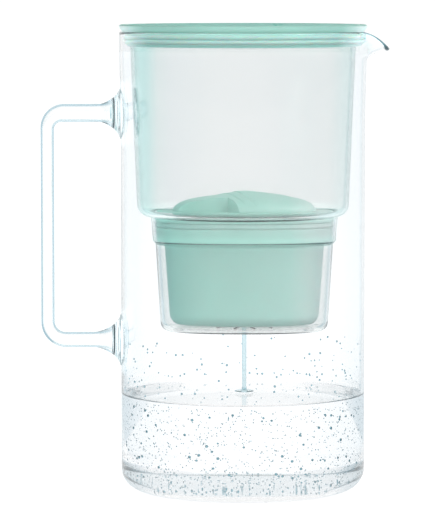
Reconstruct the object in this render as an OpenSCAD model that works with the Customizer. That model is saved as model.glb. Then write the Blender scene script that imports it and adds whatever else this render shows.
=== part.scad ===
// Glass filter pitcher: a round glass jug with a welded tube handle and a pulled spout, a clear
// hopper hung in its mouth by a sealed collar, a lid with a flip flap, and a drop-in cartridge.
// Millimetres, +Z up, origin at the middle of the glass foot, +X towards the spout.

/* [Glass jug] */
// Outer diameter of the glass body
jug_d = 140; // [132:1:150]
// Height of the glass rim above the table
jug_h = 262.7; // [255:0.1:280]
// Thickness of the glass wall
glass_wall = 1.8; // [1.4:0.1:2.2]
// Thickness of the glass floor
glass_floor = 5; // [4:0.5:8]
// Radius of the heel between the glass wall and the floor
heel_r = 12; // [8:1:18]
// How far the mouth opens out past the wall
mouth_flare = 0.8; // [0.4:0.1:1.6]

/* [Spout] */
// How far the tip of the spout stands out past the wall
spout_reach = 13.7; // [10:0.1:18]
// Height over which the spout swells out of the wall
spout_rise = 17; // [14:0.5:24]
// How far the tip lies below the rim
spout_dip = 9.1; // [7:0.1:11]
// Half the angle that the spout takes up round the mouth
spout_angle = 21; // [17:1:28]

/* [Glass handle] */
// Diameter of the handle tube
tube_d = 7.7; // [6.5:0.1:9]
// Wall of the handle tube
tube_wall = 1.4; // [1:0.1:1.8]
// Distance from the glass wall to the middle of the grip
handle_reach = 42.1; // [36:0.1:50]
// Height of the upper arm
upper_arm_z = 216.2; // [205:0.1:222]
// Height of the lower arm
lower_arm_z = 85.8; // [75:0.1:100]
// Bend radius of the upper corner
upper_bend_r = 9; // [7:0.5:14]
// Bend radius of the lower corner
lower_bend_r = 10.5; // [7:0.5:14]
// Radius of the trumpet where each arm is welded to the wall
weld_r = 13; // [9:0.5:16]

/* [Collar] */
// Thickness of the rim flange
flange_t = 2; // [1.4:0.1:2.6]
// Height of the seal groove
seal_h = 5.4; // [4.5:0.1:6.5]
// Depth of the skirt below the seal
skirt_h = 2.6; // [1.5:0.1:4]
// Wall of the collar behind the seal
collar_wall = 2; // [1.6:0.1:2.6]
// Depth of the rebate that takes the hopper rim and the lid, below the glass rim
rebate_drop = 1.2; // [0.8:0.1:2]

/* [Seal] */
// Number of sealing ribs
seal_ribs = 2; // [2:1:3]
// How far the ribs stand out of the seal's band
rib_out = 1.1; // [0.7:0.1:1.4]

/* [Hopper] */
// Wall of the hopper
hopper_wall = 2; // [1.6:0.1:2.6]
// Thickness of the rim that hangs in the collar
hopper_rim_t = 1.5; // [1.2:0.1:2.2]
// Height from the collar's skirt to the underside of the hopper floor
hopper_h = 98.4; // [85:0.1:110]
// Gap between the glass and the hopper just below its flared top
hopper_gap = 4; // [3.2:0.1:8]
// How much narrower the hopper is at the bottom than at the top, on each side
hopper_draft = 3.4; // [2:0.1:6]
// Radius of the hopper's bottom corner
hopper_heel_r = 7; // [5:0.5:9]

/* [Filter cup] */
// Length of the cup's mouth
cup_l = 107.6; // [100:0.1:109]
// Width of the cup's mouth
cup_w = 70; // [60:0.5:80]
// Depth of the cup below the hopper floor
cup_h = 63.7; // [55:0.1:72]
// Height of the cup's upper band
band_h = 11.6; // [8:0.1:16]
// How far the band steps in to make the cartridge's seat
cup_step = 1.6; // [1.4:0.1:2.4]
// How far the cup's lower part narrows
cup_draft = 2.8; // [1:0.1:4]
// Radius of the cup's bottom corner
cup_corner_r = 5; // [3.5:0.5:7]
// How far the cup sits off the jug's axis, towards the spout
cup_shift = 0.8; // [0:0.1:2]
// Diameter of the outlet in the cup's floor
outlet_d = 6; // [4:0.5:9]
// Number of ribs on the cup's floor that stand the cartridge off the outlet
floor_ribs = 12; // [6:2:16]

/* [Lid] */
// Thickness of the lid plate
lid_t = 3.2; // [2.8:0.1:4]
// Depth of the ring under the lid that centres it in the hopper
lid_ring_h = 4.5; // [3:0.5:7]
// Diameter of the fill opening's flap
flap_d = 114; // [104:1:116]
// Thickness of the flap
flap_t = 1.8; // [1.4:0.1:2]
// Distance from the jug's axis to the flap's hinge
hinge_x = 20; // [12:1:26]
// Diameter of the hinge knuckles
knuckle_d = 4.6; // [4:0.1:5]
// Diameter of the hinge pin
pin_d = 2; // [1.6:0.1:2.4]
// Length of the hinge pin
pin_l = 60; // [50:1:72]
// Width of the thumb tab
tab_w = 18; // [14:1:24]

/* [Cartridge] */
// Wall of the cartridge shell
shell_wall = 1.5; // [1.2:0.1:2]
// How far the shell steps in below its band
shell_step = 4; // [3:0.1:5.5]
// How far the shell narrows towards its bottom
shell_draft = 3.1; // [2:0.1:4.5]
// Radius of the shell's bottom corner
shell_corner_r = 8; // [6:0.5:10]
// Thickness of the cap's rim
cap_rim_t = 2; // [1.6:0.1:3]
// Length of the cap's dome
dome_l = 82.8; // [76:0.2:86]
// Height of the cap's dome above its rim
dome_h = 12.6; // [10:0.1:14]
// Distance from the middle of the cap to the edge of the grip bar beside the front recess
grip_left = 4; // [3:0.5:8]
// Distance from the middle of the cap to the other edge of the grip bar
grip_right = 22.5; // [18:0.5:26]
// How far the grip bar is turned from square
grip_turn = 26; // [0:1:30]
// Width of the step down between the grip bar and the front recess
grip_step_w = 5.4; // [4:0.1:7]
// Height of each step down from the grip bar
grip_step_h = 0.5; // [0.3:0.1:0.8]
// Distance from the middle of the cap to the upright face of a grip recess
recess_y = 12; // [10:0.5:15]
// Distance along that face from the middle of the cap to the recess's corner
recess_x = 9.4; // [8:0.1:14]
// Height of the resin bed
resin_h = 25.4; // [15:0.1:32]
// Thickness of the screens over and under the filter beds
screen_t = 0.6; // [0.4:0.1:1]

/* [Clearances] */
// Gap between pieces that lift out of each other
lift_gap = 0.3; // [0.25:0.05:0.4]
// Gap between pieces that are fixed to each other
fixed_gap = 0.05; // [0.02:0.01:0.1]
// Radial clearance of the hinge pin in its knuckles
pin_gap = 0.05; // [0.02:0.01:0.1]
// Gap round the cartridge in the cup
cup_gap = 0.6; // [0.4:0.1:1]

/* [Hidden] */
$fn = 96;
over = 1; // how far a cut runs past the faces it opens
arc_steps = 8; // flat steps in a quarter of a turned fillet
oval_points = 48; // corners of an oval section
oval_power = 2.3; // 2 is an ellipse, more is squarer

// Jug
jug_r = jug_d / 2;
mouth_r = jug_r + mouth_flare;
bore_r = jug_r - glass_wall;
mouth_bore_r = mouth_r - glass_wall;
flare_h = 30; // height over which the mouth opens
inner_heel_r = heel_r - glass_wall;

// Spout
spout_z = jug_h - spout_rise;
lean = 65; // how far the wall turns outwards at the spout's tip
spout_root = 0.06; // how far the spout's foot and sides lie inside the plain wall
flare_outside = [[jug_r, spout_z - flare_h], [mouth_r, spout_z]]; // where the mouth opens

// Handle
tube_r = tube_d / 2;
grip_x = -jug_r - handle_reach;
weld_turn = 80; // how far the trumpet opens before it meets the wall

// Collar and seal, from the glass rim
plug_r = mouth_bore_r - lift_gap;
seat_z = jug_h - 0.4;
seal_top = jug_h - 1.3;
seal_bottom = seal_top - seal_h;
seal_back_r = plug_r - rib_out - 0.85;
skirt_bottom = seal_bottom - skirt_h;
skirt_r = seal_back_r - 0.8;
collar_bore_r = seal_back_r - collar_wall;
rebate_z = jug_h - rebate_drop;
rebate_r = seal_back_r + 0.3;
lid_z = rebate_z + fixed_gap + hopper_rim_t + lift_gap;
lid_top = lid_z + lid_t;
collar_top = lid_top + 0.2;
flange_z = collar_top - flange_t;
flange_edge = 0.35 * flange_t;

// Hopper, hung from the collar
neck_r = collar_bore_r - fixed_gap;
neck_bore_r = neck_r - hopper_wall;
shoulder_z = skirt_bottom - fixed_gap;
shoulder_r = skirt_r - 0.2;
throat_h = 7; // height of the flare under the shoulder
floor_z = shoulder_z - hopper_h;
floor_top = floor_z + hopper_wall;
hopper_top_r = bore_r - hopper_gap;
hopper_bottom_r = hopper_top_r - hopper_draft;

// Cup: tables of height and half length; the half width is less by oval_diff
oval_diff = (cup_l - cup_w) / 2;
cup_bottom = floor_z - cup_h;
cup_floor_top = cup_bottom + hopper_wall - 0.2;
rib_top = cup_floor_top + 0.8;
ledge_z = floor_z - band_h;
band_draft = 1.2;
band_slope = band_draft / band_h;
band_low = cup_l / 2 - band_draft;
cup_low = band_low - cup_step;
cup_foot = cup_low - cup_draft;
cup_outer = concat(
    corner(cup_bottom, cup_foot, cup_corner_r),
    [[ledge_z - hopper_wall, cup_low], [ledge_z, band_low], [floor_top - over, cup_l / 2]]
);
cup_inner = concat(
    corner(cup_floor_top, cup_foot - hopper_wall, cup_corner_r - 1),
    [
        [ledge_z - fixed_gap, cup_low - hopper_wall],
        [ledge_z, band_low - hopper_wall],
        [floor_top + over, cup_bore(floor_top + over)]
    ]
);

// Cartridge, seated on the cup's ledge
shoulder = ledge_z + lift_gap;
shell_bottom = rib_top + lift_gap;
shell_top = floor_top;
band_bottom_a = cup_bore(shoulder) - cup_gap;
shell_low = band_bottom_a - shell_step;
shell_outer = concat(
    corner(shell_bottom, shell_low - shell_draft, shell_corner_r),
    [
        [shoulder - fixed_gap, shell_low],
        [shoulder, band_bottom_a],
        [shell_top, cup_bore(shell_top) - cup_gap]
    ]
);
shell_floor = shell_bottom + shell_wall;
shell_bore = concat(
    corner(shell_floor, shell_low - shell_draft - shell_wall, shell_corner_r - shell_wall),
    [
        [shoulder + shell_wall - fixed_gap, shell_low - shell_wall],
        [shoulder + shell_wall, band_bottom_a - shell_wall],
        [shell_top + over, cup_bore(shell_top + over) - cup_gap - shell_wall]
    ]
);
groove_z = shell_top - 5.5; // bottom of the groove for the cartridge's seal
groove_h = 3;
groove_depth = 0.8;
cap_a = cup_bore(shell_top) - cup_gap - 0.8;
cap_z = shell_top + fixed_gap;
cap_rim_top = cap_z + cap_rim_t;
dome_a = dome_l / 2;
dome_narrowing = 0.4; // share of the dome's half length by which its half width is smaller

// Filter beds, stacked from the shell's floor
bottom_screen_z = shell_floor + fixed_gap;
resin_z = bottom_screen_z + screen_t + fixed_gap;
felt_z = resin_z + resin_h + fixed_gap;
felt_t = 1;
carbon_z = felt_z + felt_t + fixed_gap;
top_screen_z = shell_top - 5;
carbon_top = top_screen_z - fixed_gap;

// Lid
lid_r = rebate_r - lift_gap;
lid_ring_r = neck_bore_r - lift_gap;
lid_ring_wall = 1.6;
flap_r = flap_d / 2;
flap_z = lid_top - flap_t;
flap_rest = 2; // width of the ledge under the flap
knuckle_r = knuckle_d / 2;
hinge_z = lid_top - knuckle_r;
hinge_slot = knuckle_r + lift_gap;
knuckle_l = (pin_l - 4 * lift_gap) / 5;
tab_l = 4.6;
tab_t = 1.2;

// Points on an arc in the plane of a section
function arc(x, z, r, from, to) =
    [for (i = [0:arc_steps])
        let (a = from + (to - from) * i / arc_steps)
            [x + r * cos(a), z + r * sin(a)]];

// Heights and half lengths up a rounded bottom corner
function corner(z, a, r) =
    [for (i = [0:4]) let (t = 22.5 * i) [z + r * (1 - cos(t)), a - r * (1 - sin(t))]];

// Half length of the cup's bore at a height in its upper band
function cup_bore(z) = band_low - hopper_wall + band_slope * (z - ledge_z);

// A corner of a rounded oval, and the whole oval
function power(v) = sign(v) * pow(abs(v), 2 / oval_power);
function oval(z, a, diff) =
    [for (i = [0:oval_points - 1])
        let (t = 360 * i / oval_points)
            [a * power(cos(t)), (a - diff) * power(sin(t)), z]];

// A table's entries between two heights, with the ends read off it, all made smaller by inset
function slice(table, z0, z1, inset) = concat(
    [[z0, lookup(z0, table) - inset]],
    [for (row = table) if (row[0] > z0 + 0.01 && row[0] < z1 - 0.01) [row[0], row[1] - inset]],
    [[z1, lookup(z1, table) - inset]]
);

// Skin over a stack of rings that have the same number of points, closed at both ends
module loft(rings) {
    n = len(rings[0]);
    last = (len(rings) - 1) * n;
    sides = [
        for (k = [0:len(rings) - 2])
            for (i = [0:n - 1])
                let (a = k * n + i, b = k * n + (i + 1) % n)
                    each [[a, a + n, b + n], [a, b + n, b]]
    ];
    foot = [for (i = [0:n - 1]) i];
    head = concat([last], [for (i = [n - 1:-1:1]) last + i]);
    polyhedron([for (ring = rings) each ring], concat([foot], sides, [head]));
}

module oval_loft(table, diff = oval_diff) {
    loft([for (row = table) oval(row[0], row[1], diff)]);
}

module oval_disc(a, z, t) {
    oval_loft([[z, a], [z + t, a]]);
}

// ---- Glass jug ----

// Wall of the body below the spout, closed by the floor
module jug_body() {
    rotate_extrude()
        polygon(concat(
            [[0, 0]],
            arc(jug_r - heel_r, heel_r, heel_r, -90, 0),
            flare_outside,
            [[mouth_bore_r, spout_z], [bore_r, spout_z - flare_h]],
            arc(bore_r - inner_heel_r, glass_floor + inner_heel_r, inner_heel_r, 0, -90),
            [[0, glass_floor]]
        ));
}

// How much of the spout's reach shows at an angle off its middle line
function swell(a) = pow(cos(90 * min(abs(a) / spout_angle, 1)), 2);

// Section through the mouth's wall, swollen from 0 to 1 of the spout's reach. It leaves the body
// upright, leans out along part of an ellipse, and ends in a rounded lip. half is half its thickness
// and foot_half half that of its foot, whose points lie at the heights in feet.
function mouth_section(b, half = glass_wall / 2, foot_half = glass_wall / 2, feet = [spout_z]) =
    let (
        reach = b * (spout_reach - mouth_flare) / (1 - cos(lean)),
        rise = (spout_rise - spout_dip * pow(b, 1.7) - glass_wall / 2) / sin(lean),
        bend = [for (i = [0:arc_steps]) lean * i / arc_steps],
        size = [for (s = bend) sqrt(pow(reach * sin(s), 2) + pow(rise * cos(s), 2))],
        middle = [for (s = bend) [
            mouth_r - glass_wall / 2 + reach * (1 - cos(s)),
            spout_z + rise * sin(s)
        ]],
        across = [for (i = [0:arc_steps])
            [rise * cos(bend[i]), -reach * sin(bend[i])] * half / size[i]],
        out = across[arc_steps],
        along = [-out[1], out[0]]
    )
    concat(
        [for (z = feet) [middle[0][0] + foot_half, z]],
        [for (i = [1:arc_steps]) middle[i] + across[i]],
        [for (t = [30:30:150]) middle[arc_steps] + out * cos(t) + along * sin(t)],
        [for (i = [arc_steps:-1:1]) middle[i] - across[i]],
        [for (i = [len(feet) - 1:-1:0]) [middle[0][0] - foot_half, feet[i]]]
    );

// The mouth's wall carried round the spout. Its foot and both sides start inside the plain wall.
module spout() {
    columns = 20;
    inside = glass_wall / 2 - spout_root;
    overlap = 0.5; // degrees that each side runs on into the plain wall
    edge = spout_angle - overlap;
    angles = concat(
        [edge + 2 * overlap],
        [for (i = [0:columns]) edge * (1 - 2 * i / columns)],
        [-edge - 2 * overlap]
    );
    loft([
        for (a = angles)
            let (half = abs(a) > edge - overlap / 2 ? inside : glass_wall / 2)
                [for (p = mouth_section(swell(a), half, inside, [spout_z - 0.5, spout_z]))
                    [p[0] * cos(a), p[0] * sin(a), p[1]]]
    ]);
}

module glass_jug() {
    color([0.85, 0.94, 0.94, 0.35])
        union() {
            jug_body();
            rotate_extrude(angle = 360 - 2 * spout_angle, start = spout_angle)
                polygon(mouth_section(0));
            spout();
        }
}

// ---- Glass handle ----

// One arm along X from the grip's bend to inside the wall, with its trumpet; inset thins it to the bore
module handle_arm(z, bend_r, inset) {
    r = tube_r - inset;
    length = handle_reach - bend_r;
    trumpet = arc(r + weld_r, length - weld_r, weld_r, 180, 180 - weld_turn);
    translate([grip_x + bend_r, 0, z])
        rotate([0, 90, 0])
            rotate_extrude()
                polygon(concat(
                    [[0, 0], [r, 0]],
                    trumpet,
                    [[trumpet[arc_steps][0], length + 8], [0, length + 8]]
                ));
}

// A quarter bend of the tube in the plane of the handle
module handle_bend(bend_r, inset) {
    rotate([90, 0, 0])
        rotate_extrude(angle = 90)
            translate([bend_r, 0])
                circle(tube_r - inset);
}

module handle_tube(inset) {
    handle_arm(upper_arm_z, upper_bend_r, inset);
    handle_arm(lower_arm_z, lower_bend_r, inset);
    translate([grip_x, 0, lower_arm_z + lower_bend_r])
        cylinder(r = tube_r - inset, h = upper_arm_z - upper_bend_r - lower_arm_z - lower_bend_r);
    translate([grip_x + upper_bend_r, 0, upper_arm_z - upper_bend_r])
        mirror([1, 0, 0])
            handle_bend(upper_bend_r, inset);
    translate([grip_x + lower_bend_r, 0, lower_arm_z + lower_bend_r])
        rotate([0, 180, 0])
            handle_bend(lower_bend_r, inset);
}

module glass_handle() {
    color([0.85, 0.94, 0.94, 0.35])
        difference() {
            handle_tube(0);
            handle_tube(tube_wall);
            rotate_extrude()
                polygon(concat([[0, 0], [jug_r, 0]], flare_outside, [[0, spout_z]]));
        }
}

// ---- Collar and its seal ----

module lid_collar() {
    color("mediumaquamarine")
        rotate_extrude()
            polygon([
                [collar_bore_r, skirt_bottom],
                [skirt_r, skirt_bottom],
                [seal_back_r - 0.3, seal_bottom - 0.3],
                [plug_r - 1.2, seal_bottom - 0.3],
                [plug_r - 1.2, seal_bottom],
                [seal_back_r, seal_bottom],
                [seal_back_r, seal_top],
                [plug_r, seal_top],
                [plug_r, seat_z],
                [mouth_r - 0.2, flange_z],
                [mouth_r, flange_z + flange_edge],
                [mouth_r, collar_top - flange_edge],
                [mouth_r - flange_edge, collar_top],
                [rebate_r, collar_top],
                [rebate_r, rebate_z],
                [collar_bore_r, rebate_z]
            ]);
}

// Silicone band with rounded ribs that press on the glass
module collar_seal() {
    band_r = plug_r - rib_out;
    pitch = (seal_h - 2 * fixed_gap) / seal_ribs;
    foot = seal_bottom + fixed_gap;
    rib = [
        for (k = [0:seal_ribs - 1])
            for (i = [0:8])
                [band_r + rib_out * sin(22.5 * i), foot + pitch * (k + i / 8)]
    ];
    color([0.72, 0.88, 0.84])
        rotate_extrude()
            polygon(concat(
                [[seal_back_r + fixed_gap, foot]],
                [for (p = rib) [max(p[0], band_r), p[1]]],
                [[seal_back_r + fixed_gap, foot + pitch * seal_ribs]]
            ));
}

// ---- Hopper ----

module hopper_outside() {
    throat_z = shoulder_z - throat_h;
    flare = shoulder_r - hopper_top_r;
    rotate_extrude()
        polygon(concat(
            [[0, floor_z]],
            arc(hopper_bottom_r - hopper_heel_r, floor_z + hopper_heel_r, hopper_heel_r, -90, 0),
            [for (i = [0:6]) let (u = i / 6)
                [hopper_top_r + flare * pow(u, 2), throat_z + throat_h * u]],
            [
                [neck_r, shoulder_z],
                [neck_r, rebate_z + fixed_gap],
                [rebate_r - fixed_gap, rebate_z + fixed_gap],
                [rebate_r - fixed_gap, rebate_z + fixed_gap + hopper_rim_t],
                [0, rebate_z + fixed_gap + hopper_rim_t]
            ]
        ));
}

module hopper_inside() {
    heel = hopper_heel_r - hopper_wall;
    r = hopper_bottom_r - hopper_wall;
    rotate_extrude()
        polygon(concat(
            [[0, floor_top]],
            arc(r - heel, floor_top + heel, heel, -90, 0),
            [
                [hopper_top_r - hopper_wall, shoulder_z - throat_h],
                [neck_bore_r, shoulder_z],
                [neck_bore_r, jug_h + 3 * over],
                [0, jug_h + 3 * over]
            ]
        ));
}

// Ribs round the outlet that stand the cartridge off the cup's floor
module cup_floor_ribs() {
    inner = outlet_d / 2 + 3;
    outer = cup_foot - hopper_wall - cup_corner_r - oval_diff;
    for (i = [0:floor_ribs - 1])
        rotate([0, 0, 360 * (i + 0.5) / floor_ribs])
            translate([inner, -0.6, cup_floor_top - 0.5])
                cube([outer - inner, 1.2, rib_top - cup_floor_top + 0.5]);
}

module hopper() {
    color([0.88, 0.94, 0.93, 0.4])
        difference() {
            union() {
                hopper_outside();
                translate([cup_shift, 0, 0])
                    oval_loft(cup_outer);
            }
            hopper_inside();
            translate([cup_shift, 0, 0])
                difference() {
                    oval_loft(cup_inner);
                    cup_floor_ribs();
                }
            translate([cup_shift, 0, cup_bottom - over])
                cylinder(d = outlet_d, h = hopper_wall + 2 * over);
        }
}

// ---- Lid ----

// The flap's outline: a round cut straight along the hinge
module flap_outline(r, back) {
    intersection() {
        circle(r);
        translate([back - 2 * r, -r])
            square([2 * r, 2 * r]);
    }
}

// Knuckles along the hinge, counted from 0 at one end to 4 at the other
module knuckles(which, r) {
    for (k = which)
        translate([hinge_x, k * (knuckle_l + lift_gap) - pin_l / 2, hinge_z])
            rotate([-90, 0, 0])
                cylinder(r = r, h = knuckle_l);
}

// Block that joins a knuckle to its plate on one side of the hinge
module knuckle_webs(which, side, z, t) {
    for (k = which)
        translate([
            hinge_x + (side < 0 ? -hinge_slot - over : 0),
            k * (knuckle_l + lift_gap) - pin_l / 2,
            z
        ])
            cube([hinge_slot + over, knuckle_l, t]);
}

// Round-edged rails that carry the lid's end knuckles on to the corners of the opening
module hinge_rails() {
    rail_l = sqrt(pow(flap_r, 2) - pow(hinge_x, 2)) - pin_l / 2 + over;
    for (side = [0, 1])
        mirror([0, side, 0])
            translate([hinge_x, pin_l / 2 - over, 0]) {
                translate([0, 0, hinge_z])
                    rotate([-90, 0, 0])
                        cylinder(r = knuckle_r, h = rail_l);
                translate([0, 0, lid_z])
                    cube([hinge_slot + over, rail_l, lid_t]);
            }
}

// Bore for the pin, closed at both ends by the rails
module pin_bore() {
    translate([hinge_x, -pin_l / 2 - pin_gap, hinge_z])
        rotate([-90, 0, 0])
            cylinder(r = pin_d / 2 + pin_gap, h = pin_l + 2 * pin_gap);
}

// Pocket for a thumb beyond the flap's free edge
module thumb_pocket() {
    translate([-flap_r - tab_l - 2, -tab_w / 2 - 2, flap_z - 0.9])
        cube([tab_l + 4, tab_w + 4, flap_t + 0.9 + over]);
}

module lid_plate() {
    color("mediumaquamarine")
        difference() {
            union() {
                difference() {
                    union() {
                        translate([0, 0, lid_z])
                            cylinder(r = lid_r, h = lid_t);
                        translate([0, 0, lid_z - lid_ring_h])
                            cylinder(r = lid_ring_r, h = lid_ring_h + over);
                    }
                    translate([0, 0, lid_z - lid_ring_h - over])
                        cylinder(r = lid_ring_r - lid_ring_wall, h = lid_ring_h + over);
                    translate([0, 0, lid_z - over])
                        linear_extrude(lid_t + 2 * over)
                            flap_outline(flap_r - flap_rest, hinge_x + hinge_slot);
                    translate([0, 0, flap_z - lift_gap])
                        linear_extrude(flap_t + lift_gap + over)
                            flap_outline(flap_r + lift_gap, hinge_x + hinge_slot);
                    thumb_pocket();
                }
                knuckles([0, 2, 4], knuckle_r);
                knuckle_webs([0, 2, 4], 1, lid_z, lid_t);
                hinge_rails();
            }
            pin_bore();
        }
}

module flip_flap() {
    color("aquamarine")
        difference() {
            union() {
                translate([0, 0, flap_z])
                    linear_extrude(flap_t)
                        flap_outline(flap_r, hinge_x - hinge_slot - 0.1);
                translate([-flap_r - tab_l + 1, -tab_w / 2, lid_top - tab_t])
                    cube([tab_l + 3, tab_w, tab_t]);
                knuckles([1, 3], knuckle_r);
                knuckle_webs([1, 3], -1, flap_z, flap_t);
            }
            pin_bore();
        }
}

module hinge_pin() {
    color("silver")
        translate([hinge_x, -pin_l / 2, hinge_z])
            rotate([-90, 0, 0])
                cylinder(d = pin_d, h = pin_l);
}

// ---- Cartridge ----

// Drain slots through the cartridge's floor
module drain_slots() {
    for (x = [-2:2])
        translate([x * 9 - 0.75, -9, shell_bottom - over])
            cube([1.5, 18, shell_wall + 2 * over]);
}

module cartridge_shell() {
    groove_top = groove_z + groove_h;
    color("mediumaquamarine")
        translate([cup_shift, 0, 0])
            difference() {
                oval_loft(shell_outer);
                oval_loft(shell_bore);
                drain_slots();
                difference() {
                    translate([-cup_l, -cup_w, groove_z])
                        cube([2 * cup_l, 2 * cup_w, groove_h]);
                    oval_loft(slice(shell_outer, groove_z - over, groove_top + over, groove_depth));
                }
            }
}

// Soft lip ring in the groove that closes the gap to the cup
module cartridge_seal() {
    low = groove_z + fixed_gap;
    high = groove_z + groove_h - fixed_gap;
    lip = cup_bore(low) - lift_gap;
    color([0.72, 0.88, 0.84])
        translate([cup_shift, 0, 0])
            difference() {
                oval_loft([[low, lip - 0.4], [low + groove_h / 3, lip], [high, lip - 0.4]]);
                oval_loft(
                    slice(shell_outer, groove_z - over, groove_z + groove_h + over, groove_depth - fixed_gap)
                );
            }
}

// Part of the dome's height and of its length, from its foot to its top
dome_curve = [
    [0, 1], [0.18, 0.99], [0.35, 0.955], [0.48, 0.905], [0.59, 0.83],
    [0.68, 0.735], [0.77, 0.6], [0.86, 0.43], [0.93, 0.27], [0.98, 0.14], [1, 0.04]
];

// The cap's dome, smaller by inset all round and lower by a drop
module dome(inset, drop) {
    a = dome_a - inset;
    h = dome_h - inset - drop;
    loft([
        for (row = dome_curve)
            oval(cap_rim_top + (row[0] == 0 ? -over : h * row[0]), a * row[1], dome_narrowing * a * row[1])
    ]);
}

// The part of the cap between two upright planes that are turned with the grip bar
module grip_band(left, right) {
    rotate([0, 0, grip_turn])
        translate([-left, -cup_w, cap_rim_top - 2 * over])
            cube([left + right, 2 * cup_w, dome_h + 3 * over]);
}

// Dome with the raised grip bar, one step down on its right and two on its left
module grip_dome() {
    edge = 0.2 * shell_wall;
    dome(2 * edge, 2 * grip_step_h);
    intersection() {
        dome(edge, grip_step_h);
        grip_band(grip_left + grip_step_w, cup_l);
    }
    intersection() {
        dome(0, 0);
        grip_band(grip_left, grip_right);
    }
}

// Recesses for finger and thumb on opposite flanks; grow widens them for the wall round them
module grip_recesses(grow) {
    reach = 2 * recess_x + cup_w;
    floor_z = grow > 0 ? cap_z : cap_rim_top + grip_step_h;
    for (half = [0, 180])
        rotate([0, 0, half])
            translate([0, 0, floor_z])
                linear_extrude(dome_h + cap_rim_t + over)
                    offset(delta = grow)
                        polygon([
                            [-reach, -recess_y],
                            [-recess_x, -recess_y],
                            [-recess_x + cup_w * tan(grip_turn), -recess_y - cup_w],
                            [-reach, -recess_y - cup_w]
                        ]);
}

// Inlet slots through the dome's flank
module inlet_slots() {
    slot_w = 0.8 * shell_wall;
    pitch = 3.5 * slot_w;
    for (half = [0, 180])
        rotate([0, 0, half])
            for (i = [-2:2])
                translate([0, i * pitch - slot_w / 2, cap_rim_top + slot_w])
                    cube([dome_a + over, slot_w, 1.8 * slot_w]);
}

module cartridge_cap() {
    edge = 0.3 * cap_rim_t;
    color("mediumaquamarine")
        translate([cup_shift, 0, 0])
            difference() {
                union() {
                    oval_loft([
                        [cap_z, cap_a],
                        [cap_rim_top - edge, cap_a],
                        [cap_rim_top, cap_a - edge]
                    ]);
                    grip_dome();
                }
                grip_recesses(0);
                difference() {
                    union() {
                        dome(shell_wall, 2 * grip_step_h);
                        oval_disc(dome_a - 2 * shell_wall, cap_z - over, cap_rim_t + over);
                    }
                    grip_recesses(shell_wall);
                }
                inlet_slots();
            }
}

// A bed or screen that fills the shell between two heights
module shell_filling(z0, z1) {
    translate([cup_shift, 0, 0])
        oval_loft(slice(shell_bore, z0, z1, fixed_gap));
}

module top_screen() {
    color("white")
        shell_filling(top_screen_z, top_screen_z + screen_t);
}

module carbon_bed() {
    color("dimgray")
        shell_filling(carbon_z, carbon_top);
}

module felt_divider() {
    color("white")
        shell_filling(felt_z, felt_z + felt_t);
}

module resin_bed() {
    color("khaki")
        shell_filling(resin_z, resin_z + resin_h);
}

module bottom_screen() {
    color("white")
        shell_filling(bottom_screen_z, bottom_screen_z + screen_t);
}

glass_jug();
glass_handle();
lid_collar();
collar_seal();
hopper();
lid_plate();
flip_flap();
hinge_pin();
cartridge_shell();
cartridge_cap();
cartridge_seal();
top_screen();
carbon_bed();
felt_divider();
resin_bed();
bottom_screen();
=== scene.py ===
import math
import random

import bmesh
import bpy
from mathutils import Matrix, Vector


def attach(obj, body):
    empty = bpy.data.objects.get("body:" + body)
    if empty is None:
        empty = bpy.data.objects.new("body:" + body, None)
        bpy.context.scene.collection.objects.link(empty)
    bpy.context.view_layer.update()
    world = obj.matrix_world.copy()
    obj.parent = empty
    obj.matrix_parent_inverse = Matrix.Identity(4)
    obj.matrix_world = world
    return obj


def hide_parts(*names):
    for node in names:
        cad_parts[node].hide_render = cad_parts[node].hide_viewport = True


# A glass filter pitcher. Sizes and shapes are in millimetres until finish_piece() turns them into metres;
# materials, lamps and the camera are in metres from the start.
MM = 0.001

# ---- Sizes ----

# Glass jug
JUG_R = 70.0
JUG_H = 262.7
GLASS_WALL = 1.8
GLASS_FLOOR = 5.0
HEEL_R = 12.0
MOUTH_FLARE = 0.8
FLARE_H = 30.0

# Spout
SPOUT_REACH = 13.7
SPOUT_RISE = 17.0
SPOUT_DIP = 9.1
SPOUT_ANGLE = 21.0
SPOUT_LEAN = math.radians(65)
SPOUT_Z = JUG_H - SPOUT_RISE

# Handle
TUBE_R = 3.85
BORE_R = 3.25
GRIP_X = -112.1
UPPER_ARM_Z = 216.2
LOWER_ARM_Z = 85.8
UPPER_BEND_R = 9.0
LOWER_BEND_R = 10.5
UPPER_GROWTH = 1.35
LOWER_GROWTH = 1.15
WELD_L = 20.0
WELD_H = 13.5
BULB_R = 6.7
BULB_X = -73.0

WELD_X = -JUG_R - WELD_L

# Collar, hopper and cup
RIM_TOP = 263.05
REBATE_Z = 261.55
SHOULDER_Z = 253.35
FLOOR_Z = 157.25
HOPPER_WALL = 2.0
HOPPER_RIM_R = 67.0
HOPPER_NECK_R = 64.7
LEDGE_Z = 143.35
CUP_BOTTOM = 91.25
CUP_FLOOR = 1.8
CUP_BORE = 50.6
CUP_TAPER = 1.2 / 11.6
OUTLET_R = 3.0
CUP_SHIFT = 0.8
OVAL_DIFF = 18.8
OVAL_POWER = 2.3

# Cartridge
SHELL_BOTTOM = 94.15
SHELL_SHOULDER = 143.65
SHELL_TOP = 156.95
CAP_Z = 157.0
CAP_RIM_TOP = 159.0
DOME_A = 41.4
DOME_B = 24.84
DOME_H = 12.6
GRIP_TURN = math.radians(26)
GRIP_STEP_H = 0.5
GRIP_STEPS_LEFT = (-9.4, -4.0)
GRIP_STEP_RIGHT = 22.5
GRIP_SLOPE = 0.2
RECESS_Y = 12.0
RECESS_EDGE = 13.7
RECESS_SLOPE = 0.15

# Water
WATER_Z = 55.0
MENISCUS = 1.4
STREAM_R = 1.2

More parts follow.
